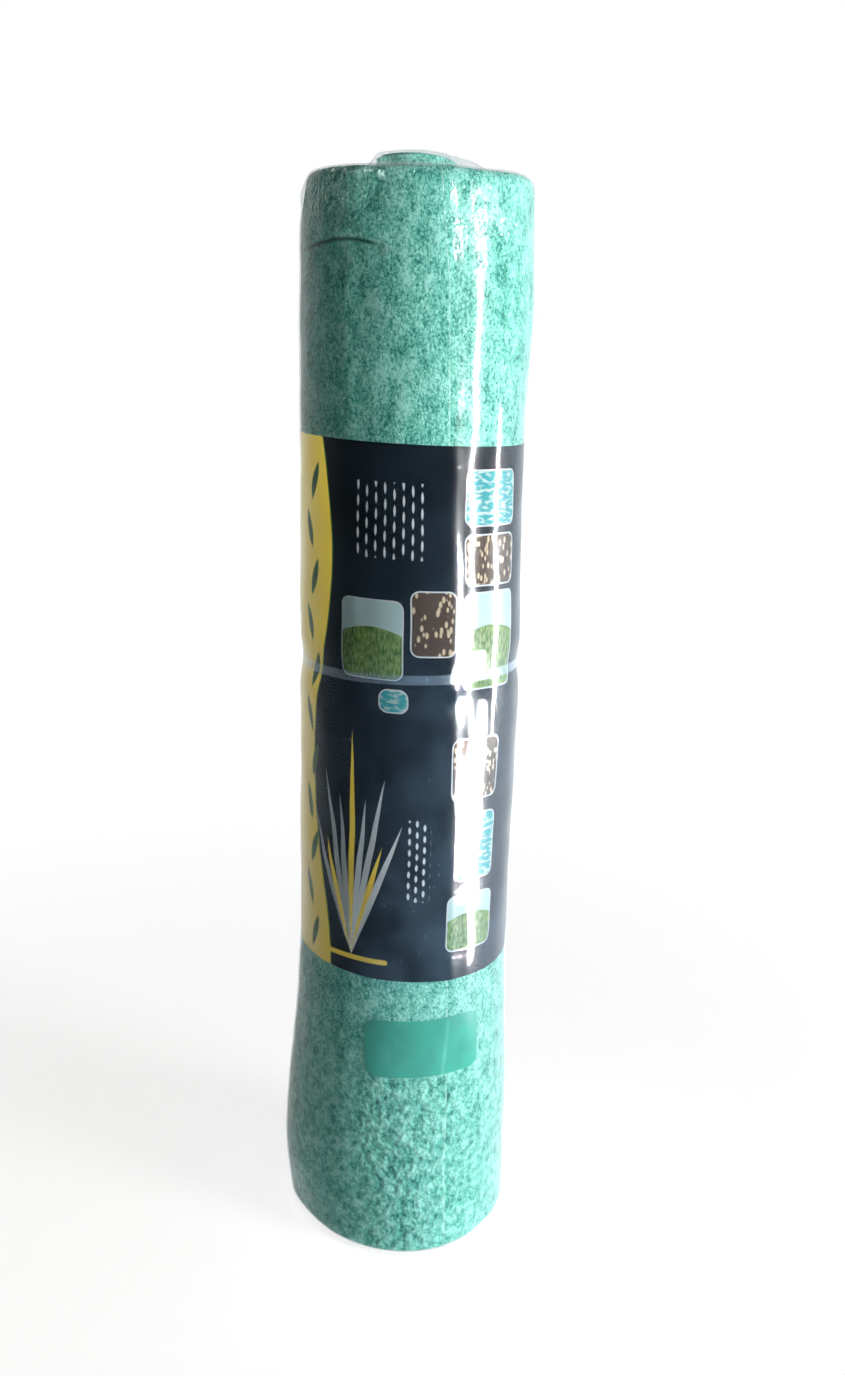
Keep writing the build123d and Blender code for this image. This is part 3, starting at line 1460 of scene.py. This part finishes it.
@dataclass
class ShrinkFilm:
    """The clear film over the sides and rims, open in the middle of both ends."""

    form: RollForm
    gap: float = 0.85 * MM
    thickness: float = 0.12 * MM
    tent_radius: float = 36 * MM
    tent_sag: float = 2.2 * MM
    tent_step: float = 0.12
    tent_lift_place: Point = (29 * MM, -6 * MM)
    tent_lift: float = 6.0 * MM
    tent_lift_reach: float = 17 * MM
    top_opening: float = 14.5 * MM
    base_opening: float = 40 * MM
    rim_spacing: float = 1.5 * MM
    spacing: float = 3.0 * MM
    under_spacing: float = 4.0 * MM
    pleats: int = 34
    pleat_bearings: Span = (-110, 70)
    pleat_reach: Span = (4, 8)
    pleat_inward: Span = (0, 4)
    pleat_downward: Span = (-1, 14)
    pleat_out: float = 1.3 * MM
    gathers: tuple[Dent, ...] = (
        Dent(19, 351 * MM, 1.3 * MM, 8 * MM),
        Dent(25, 341 * MM, 1.2 * MM, 7 * MM),
        Dent(18, 333 * MM, 1.0 * MM, 6 * MM),
        Dent(13.5, 597 * MM, 1.8 * MM, 7 * MM),
        Dent(15.5, 575 * MM, 1.8 * MM, 7 * MM),
        Dent(33, 592 * MM, 0.9 * MM, 6 * MM),
        Dent(38, 598 * MM, 0.8 * MM, 5 * MM),
        Dent(43, 590 * MM, 0.9 * MM, 5 * MM),
        Dent(50, 594 * MM, 0.8 * MM, 6 * MM),
        Dent(36, 566 * MM, 0.8 * MM, 8 * MM),
    )
    draws: random.Random = field(default_factory=lambda: random.Random(5))

    def tent(self) -> list[Point]:
        """The film's line over the raised turns, which sags between them and the rim.

        Returns:
            Its points, from the top opening out to the tent's foot, which is left out.
        """
        form = self.form
        foot_radius, foot_level = self.tent_radius, form.top + self.gap
        head_radius, head_level = form.coil_radius + self.gap, form.coil_top + self.gap
        points = [(self.top_opening, head_level), (head_radius, head_level)]
        for share in spaced(0.0, 1.0, self.tent_step)[1:]:
            sag = -self.tent_sag * math.sin(math.pi * share)
            radius = head_radius + (foot_radius - head_radius) * share
            points.append((radius, head_level + (foot_level - head_level) * share + sag))
        return points

    def profile(self) -> list[Point]:
        """The film's line, from its top opening over the tent, down the side and under.

        Returns:
            Its points.
        """
        form = self.form
        points = self.tent()
        flat = spaced(self.tent_radius, form.radius - form.rim, self.spacing)
        points += [(radius, form.top + self.gap) for radius in flat]
        points += form.rim_arc(self.gap, True, self.rim_spacing)[:-1]
        points += form.side_line(self.gap, form.even_stops(self.spacing))
        points += form.rim_arc(self.gap, False, self.rim_spacing)[::-1]
        under = spaced(form.foot_radius - form.rim, self.base_opening, self.under_spacing)[1:]
        points += [(radius, 0.0) for radius in under]
        return points + [(self.base_opening, 0.0)]

    def pleat(self, piece: bpy.types.Object) -> None:
        """Push one small pleat out of the film, near its top rim.

        Args:
            piece: The film.
        """
        form = self.form
        out = radial(self.draws.uniform(*self.pleat_bearings))
        reach = self.draws.uniform(*self.pleat_reach) * MM
        place = out * (form.radius - self.draws.uniform(*self.pleat_inward) * MM)
        place.z = form.top - self.draws.uniform(*self.pleat_downward) * MM
        nudge(piece, place, out * self.pleat_out, reach)

    def build(self) -> bpy.types.Object:
        """Turn the film, settle it, crease it and give it its thickness.

        Returns:
            The film.
        """
        piece = self.form.skin("clear_shrink_film", self.profile())
        for _ in range(self.pleats):
            self.pleat(piece)
        slope = Vector((*self.tent_lift_place, self.form.top))
        nudge(piece, slope, Vector((0, 0, self.tent_lift)), self.tent_lift_reach)
        for gather in self.gathers:
            self.form.dent(piece, gather)
        use_modifier(piece, "SOLIDIFY", thickness=self.thickness, offset=-1.0)
        return piece


@dataclass
class PaperLabel:
    """The printed paper round the roll, lapped at the back and a little askew."""

    form: RollForm
    gap: float = 0.16 * MM
    thickness: float = 0.10 * MM
    tilt: float = 2.0
    base_slope: Point = (2.6, 2.0)
    base_lift: float = 1.8 * MM
    lap: float = 11.0
    lap_rise: float = 1.2
    edge_bearing: float = 168.0
    steps: int = 180
    margin: float = 12 * MM
    spacing: float = 3.0 * MM
    overlap: float = 6.0 * MM
    start: float = field(init=False)
    base: float = field(init=False)
    height: float = field(init=False)

    def __post_init__(self) -> None:
        """Take the label's edges from the frame, on the roll's axis."""
        low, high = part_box("label_wrap")
        slope = math.tan(math.radians(self.tilt)) * high.x
        self.start = self.edge_bearing + self.form.wound_bearing - self.form.tail_bearing
        self.base = low.z + slope
        self.height = high.z - low.z - 2 * slope

    @property
    def covered(self) -> Span:
        """The heights between which the label hides the mat all round."""
        return self.base + self.overlap, self.base + self.height - self.overlap

    def push(self, swept: float) -> float:
        """How far out a column of the paper lies, over the turn below and over its own lap.

        Args:
            swept: How far round the column is from the label's start, in degrees.
        Returns:
            How far out it is pushed.
        """
        bearing = self.start - swept
        under = self.form.skin_push((self.form.wound_bearing - bearing) % 360)
        return under + self.thickness * self.lap_rise * (1 - swept / 360)

    def build(self) -> bpy.types.Object:
        """Wind the paper round, cut its edges and give it its thickness.

        Returns:
            The label.
        """
        form = self.form
        stops = spaced(self.base + self.height + self.margin, self.base - self.margin, self.spacing)
        line = form.side_line(self.gap, [form.coil_top] + stops + [0.0])
        piece = lathe("paper_label", line, self.steps, self.start, self.push, 360 + self.lap)
        form.settle(piece)
        cut_level(piece, self.base + self.base_lift, self.base_slope, True)
        cut_level(piece, self.base + self.height, (self.tilt, 0.0), False)
        self.lay_out(piece)
        turn_outwards(piece)
        use_modifier(piece, "SOLIDIFY", thickness=self.thickness, offset=1.0)
        return piece

    def lay_out(self, piece: bpy.types.Object) -> None:
        """Map the paper flat: metres right of the front line, and up from its lower edge.

        Args:
            piece: The label.
        """
        form = self.form
        mesh = piece.data
        swept = mesh.attributes["swept"].data
        flat = mesh.uv_layers.new(name="paper")
        rise = math.tan(math.radians(self.tilt))
        for loop in mesh.loops:
            place = mesh.vertices[loop.vertex_index].co
            bearing = self.start - swept[loop.vertex_index].value
            bearing += form.tail_at(place.z) - form.wound_bearing
            across = math.radians(bearing) * form.radius
            flat.data[loop.index].uv = (across, place.z - self.base + rise * place.x)


@dataclass
class ClearBand:
    """The narrow clear band round the label, at the waist that it pulls in."""

    form: RollForm
    gap: float = 0.42 * MM
    thickness: float = 0.10 * MM
    margin: float = 2.0 * MM
    spacing: float = 1.0 * MM

    def build(self) -> bpy.types.Object:
        """Cut the band from a wall round the roll.

        Returns:
            The band.
        """
        low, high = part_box("clear_band")
        form = self.form
        stops = spaced(high.z + self.margin, low.z - self.margin, self.spacing)
        wall = form.side_line(self.gap, [form.coil_top] + stops + [0.0])
        piece = form.skin("clear_label_band", wall)
        cut_level(piece, low.z, (0.0, 0.0), True)
        cut_level(piece, high.z, (0.0, 0.0), False)
        use_modifier(piece, "SOLIDIFY", thickness=self.thickness, offset=1.0)
        return piece


@dataclass
class ClosingTape:
    """The patch of tape that holds the free end of the mat down."""

    form: RollForm
    gap: float = 0.18 * MM
    width: float = 66.6 * MM
    thickness: float = 0.10 * MM
    rounding: float = 6.0 * MM
    rounding_cuts: int = 6
    bearing: float = 11.8
    raise_by: float = 1.5 * MM
    stand_off: float = 20 * MM
    bed_spacing: float = 3.0 * MM
    spacing_across: float = 1.5 * MM
    spacing_up: float = 1.25 * MM

    def patch(self, height: float) -> bpy.types.Object:
        """A flat rounded patch that faces the front, cut finely enough to bend.

        Args:
            height: How tall it is.
        Returns:
            The patch, round the origin.
        """
        select_nothing()
        bpy.ops.mesh.primitive_plane_add(size=1.0, location=(0, 0, 0), rotation=(math.pi / 2, 0, 0))
        piece = bpy.context.object
        piece.name = "closing_patch"
        bpy.ops.object.transform_apply(location=True, rotation=True, scale=True)
        start_edit(piece)
        pick_mesh(True)
        bpy.ops.transform.resize(value=(self.width, 1, height), center_override=(0, 0, 0))
        bpy.ops.mesh.bevel(offset=self.rounding, segments=self.rounding_cuts, affect="VERTICES")
        for across in spaced(-self.width / 2, self.width / 2, self.spacing_across)[1:]:
            pick_mesh(True)
            bpy.ops.mesh.bisect(plane_co=(across, 0, 0), plane_no=(1, 0, 0))
        for up in spaced(-height / 2, height / 2, self.spacing_up)[1:]:
            pick_mesh(True)
            bpy.ops.mesh.bisect(plane_co=(0, 0, up), plane_no=(0, 0, 1))
        end_edit()
        return piece

    def build(self) -> bpy.types.Object:
        """Lay a rounded patch on the roll's side.

        Returns:
            The patch.
        """
        low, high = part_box("closing_tape")
        form = self.form
        bed = form.skin("tape_bed", form.side_line(self.gap, form.even_stops(self.bed_spacing)))
        piece = self.patch(high.z - low.z)
        place = radial(self.bearing) * (form.foot_radius + self.stand_off)
        place.z = (low.z + high.z) / 2 + self.raise_by
        turn = Matrix.Rotation(math.radians(self.bearing), 4, "Z")
        piece.matrix_world = Matrix.Translation(place) @ turn
        use_modifier(
            piece,
            "SHRINKWRAP",
            wrap_method="PROJECT",
            use_project_x=False,
            use_project_y=True,
            use_positive_direction=True,
            use_negative_direction=True,
            target=bed,
        )
        make_active(piece)
        bpy.ops.object.transform_apply(location=True, rotation=True, scale=True)
        bpy.data.objects.remove(bed)
        turn_outwards(piece)
        use_modifier(piece, "SOLIDIFY", thickness=self.thickness, offset=1.0)
        return piece


# The stage


@dataclass(frozen=True)
class Lamp:
    """An area lamp: where it hangs, its size in metres, its power in watts and where it faces.

    It faces a height on the roll's axis, and its top may lean towards the front, in degrees. A lamp
    that shines is seen in gloss alone. Any other lights the roll, and isn't seen in gloss.
    """

    name: str
    bearing: float
    distance: float
    height: float
    size: Point
    power: float
    aim: float
    lean: float = 0.0
    shines: bool = True


@dataclass(frozen=True)
class Studio:
    """The floor, the surround, the lamps and the camera."""

    white: Colour = (1.0, 1.0, 1.0)
    ambient: Colour = (0.116, 0.116, 0.107)
    floor_grey: Colour = (0.78, 0.78, 0.78)
    floor_radius: float = 6.0
    floor_corners: int = 96
    floor_glow: Span = (1.34, 1.70)
    floor_glow_span: Span = (0.15, 1.3)
    floor_glow_share: float = 0.6
    sensor: float = 36.0
    lens: float = 35.904
    eye: Triple = (1.577 * MM, -774.33 * MM, 527.23 * MM)
    pitch: float = -14.253
    yaw: float = 0.4926
    roll: float = 1.19
    lamps: tuple[Lamp, ...] = (
        Lamp("key_softbox", 62, 2.2, 0.60, (0.7, 1.3), 71.0, 0.28, shines=False),
        Lamp("tall_strip", 58.5, 0.36, 0.40, (0.028, 0.64), 130.0, 0.40, lean=3.0),
        Lamp("low_strip", 72, 0.36, 0.17, (0.110, 0.24), 55.0, 0.17),
        Lamp("side_strip", 89, 0.36, 0.35, (0.024, 0.28), 16.0, 0.35),
        Lamp("crown_strip", -50, 0.9, 1.25, (0.5, 0.12), 210.0, 0.6),
    )

    def seen(self, graph: Graph) -> Value:
        """Tell what is seen, directly or in gloss or through film, from what lights the roll.

        Args:
            graph: The nodes of the floor or of the surround.
        Returns:
            1 for what is seen, and 0 for what lights the roll.
        """
        path = graph.node("ShaderNodeLightPath")
        seen = path.out("Is Camera Ray").at_least(path.out("Is Glossy Ray"))
        return seen.at_least(path.out("Is Transmission Ray"))

    def floor(self) -> None:
        """Lay a pale floor that keeps a faint shadow and fades to white further out."""
        select_nothing()
        bpy.ops.mesh.primitive_circle_add(
            vertices=self.floor_corners, radius=self.floor_radius, fill_type="NGON", location=(0, 0, 0)
        )
        piece = bpy.context.object
        piece.name = "floor"
        graph = Graph.of_material("pale_floor")
        across, along, _ = graph.parts(graph.place())
        distance = (across * across + along * along) ** 0.5
        near, far = self.floor_glow
        glow = distance.between(*self.floor_glow_span) * (far - near) + near
        white = graph.node("ShaderNodeEmission", None, {"Color": self.white, "Strength": glow}).out()
        share = self.seen(graph) * self.floor_glow_share
        surface = graph.mixed(share, graph.diffuse(self.floor_grey), white)
        piece.data.materials.append(graph.finish(surface))

    def world(self) -> None:
        """Give the scene a white surround to look at, and a dim even light."""
        graph = Graph(bpy.data.worlds.new("surround"))
        colour = graph.blend(self.seen(graph), self.ambient, self.white)
        background = graph.node("ShaderNodeBackground", None, {"Color": colour})
        graph.node("ShaderNodeOutputWorld", None, {"Surface": background.out()})
        bpy.context.scene.world = graph.owner

    def hang(self, lamp: Lamp) -> None:
        """Hang an area lamp that faces the roll's axis, out of the camera's sight.

        Args:
            lamp: The lamp.
        """
        light = bpy.data.lights.new(lamp.name, "AREA")
        light.shape = "ELLIPSE" if lamp.shines else "RECTANGLE"
        light.size, light.size_y = lamp.size
        light.energy = lamp.power
        holder = bpy.data.objects.new(lamp.name, light)
        bpy.context.scene.collection.objects.link(holder)
        place = radial(lamp.bearing) * lamp.distance + Vector((0, 0, lamp.height))
        holder.location = place
        facing = Vector((0, 0, lamp.aim)) - place
        lean = Quaternion((0, 0, 1), math.radians(lamp.lean))
        holder.rotation_euler = (facing.to_track_quat("-Z", "Y") @ lean).to_euler()
        holder.visible_camera = False
        holder.visible_glossy = lamp.shines
        holder.visible_diffuse = not lamp.shines

    def camera(self) -> None:
        """Stand the camera where the photo was taken from."""
        camera_data = bpy.data.cameras.new("camera")
        camera_data.sensor_width = self.sensor
        camera_data.lens = self.lens
        camera = bpy.data.objects.new("camera", camera_data)
        bpy.context.scene.collection.objects.link(camera)
        camera.location = self.eye
        pitch, yaw, roll = (math.radians(angle) for angle in (self.pitch, self.yaw, self.roll))
        turned = Matrix.Rotation(-yaw, 3, "Z") @ Matrix.Rotation(math.pi / 2 + pitch, 3, "X")
        camera.rotation_euler = (turned @ Matrix.Rotation(roll, 3, "Z")).to_euler()
        bpy.context.scene.camera = camera

    def set_up(self) -> None:
        """Set up the camera, the floor, the surround and the lamps."""
        self.camera()
        self.floor()
        self.world()
        for lamp in self.lamps:
            self.hang(lamp)


def dress(
    piece: bpy.types.Object, node: str, material: bpy.types.Material, smooth: float = 40.0
) -> None:
    """Shade a piece, give it its material and let it stand for its node.

    Args:
        piece: The finished mesh.
        node: The node that it replaces.
        material: Its material.
        smooth: Edges sharper than this many degrees stay sharp.
    """
    shade_smooth(piece, smooth)
    piece.data.materials.clear()
    piece.data.materials.append(material)
    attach(piece, "root")
    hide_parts(node)
    triangles = sum(len(face.vertices) - 2 for face in piece.data.polygons)
    log.info("%s: %d triangles", piece.name, triangles)


def main() -> None:
    """Build the roll, piece by piece, and light it."""
    logging.basicConfig(level=logging.INFO)
    bpy.context.scene.view_settings.view_transform = "Standard"
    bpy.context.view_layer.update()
    form = RollForm.from_frame()
    Studio().set_up()

    label = PaperLabel(form)
    film_finish = ClearFinish("clear_film", crinkle=0.36 * MM)
    band_finish = ClearFinish(
        "clear_tape",
        roughness=0.12,
        mirror=0.03,
        dust=0.25,
        ripples=Grain(6 * MM, 1.5, 0.45, 0.3),
    )
    mat = SeedMat(form, label.covered).build()
    dress(mat, "seed_mat", FeltFinish().material(), smooth=50.0)
    dress(label.build(), "label_wrap", PaperFinish().material())
    dress(ClearBand(form).build(), "clear_band", band_finish.material())
    dress(ClosingTape(form).build(), "closing_tape", TapeFinish().material())
    dress(ShrinkFilm(form).build(), "film_wrap", film_finish.material())


if __name__ == "__main__":
    main()
